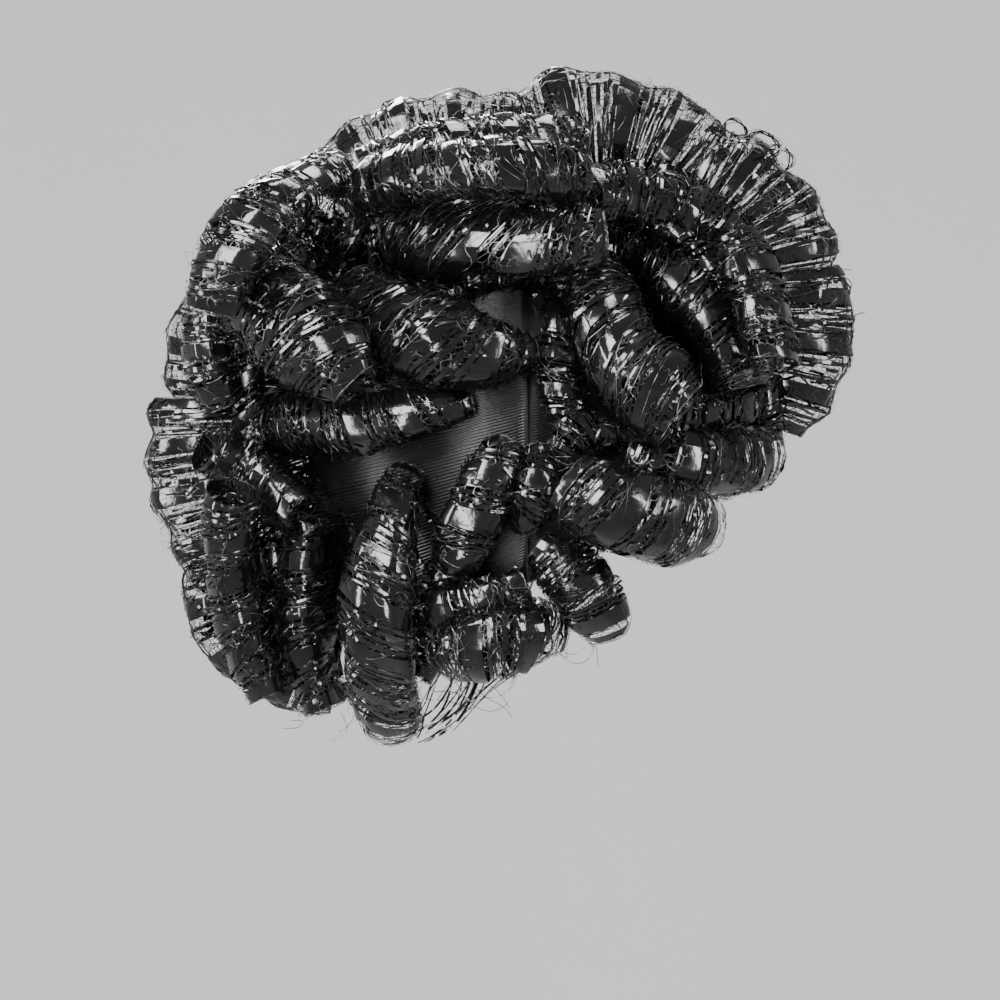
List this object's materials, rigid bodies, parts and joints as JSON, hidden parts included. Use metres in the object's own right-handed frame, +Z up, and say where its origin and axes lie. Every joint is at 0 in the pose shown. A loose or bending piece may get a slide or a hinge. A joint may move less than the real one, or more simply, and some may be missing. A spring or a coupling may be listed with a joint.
{
  "type": "turban hat",
  "caption": "Ruffled turban hat: a ribbed stretch cap covered all over with curls of see-through ribbon with glossy black strips.",
  "frame": {"origin": "inside top of the cap, where the hat sits on a head", "axes": "+X to the brow, +Y to the wearer's left, +Z up"},
  "size_m": [0.3199, 0.2384, 0.2975],
  "materials": {
    "cap_rib": "matte black ribbed stretch cloth",
    "ruffle_ribbon": "black open net with glossy film strips across it"
  },
  "bodies": {
    "root": {"cap": "cap_rib", "brow_curl": "ruffle_ribbon", "forelock_curl": "ruffle_ribbon", "crown_front_curl": "ruffle_ribbon", "crown_back_curl": "ruffle_ribbon", "back_upper_curl": "ruffle_ribbon", "back_lower_curl": "ruffle_ribbon", "nape_curl": "ruffle_ribbon", "right_finger_curl": "ruffle_ribbon", "left_finger_curl": "ruffle_ribbon", "right_ear_curl": "ruffle_ribbon", "left_ear_curl": "ruffle_ribbon", "right_ear_loop": "ruffle_ribbon", "left_ear_loop": "ruffle_ribbon", "right_forehead_curl": "ruffle_ribbon", "left_forehead_curl": "ruffle_ribbon", "right_nape_inner_curl": "ruffle_ribbon", "left_nape_inner_curl": "ruffle_ribbon", "right_back_arch": "ruffle_ribbon", "left_back_arch": "ruffle_ribbon", "right_back_hook": "ruffle_ribbon", "left_back_hook": "ruffle_ribbon", "right_side_curl": "ruffle_ribbon", "left_side_curl": "ruffle_ribbon", "right_back_curl": "ruffle_ribbon", "left_back_curl": "ruffle_ribbon", "right_cheek_curl": "ruffle_ribbon", "left_cheek_curl": "ruffle_ribbon", "right_top_curl": "ruffle_ribbon", "left_top_curl": "ruffle_ribbon", "right_brow_side_curl": "ruffle_ribbon", "left_brow_side_curl": "ruffle_ribbon", "right_lobe_curl": "ruffle_ribbon", "left_lobe_curl": "ruffle_ribbon", "right_jaw_curl": "ruffle_ribbon", "left_jaw_curl": "ruffle_ribbon", "right_temple_fan": "ruffle_ribbon", "left_temple_fan": "ruffle_ribbon", "right_temple_curl": "ruffle_ribbon", "left_temple_curl": "ruffle_ribbon", "right_nape_side_curl": "ruffle_ribbon", "left_nape_side_curl": "ruffle_ribbon", "right_back_finger": "ruffle_ribbon", "left_back_finger": "ruffle_ribbon", "right_crown_wing_curl": "ruffle_ribbon", "left_crown_wing_curl": "ruffle_ribbon", "right_crown_side_curl": "ruffle_ribbon", "left_crown_side_curl": "ruffle_ribbon", "right_crown_fore_curl": "ruffle_ribbon", "left_crown_fore_curl": "ruffle_ribbon", "right_forelock_side_curl": "ruffle_ribbon", "left_forelock_side_curl": "ruffle_ribbon", "right_back_shoulder_curl": "ruffle_ribbon", "left_back_shoulder_curl": "ruffle_ribbon", "right_back_nub": "ruffle_ribbon", "left_back_nub": "ruffle_ribbon", "right_nape_outer_curl": "ruffle_ribbon", "left_nape_outer_curl": "ruffle_ribbon"}
  },
  "joints": []
}
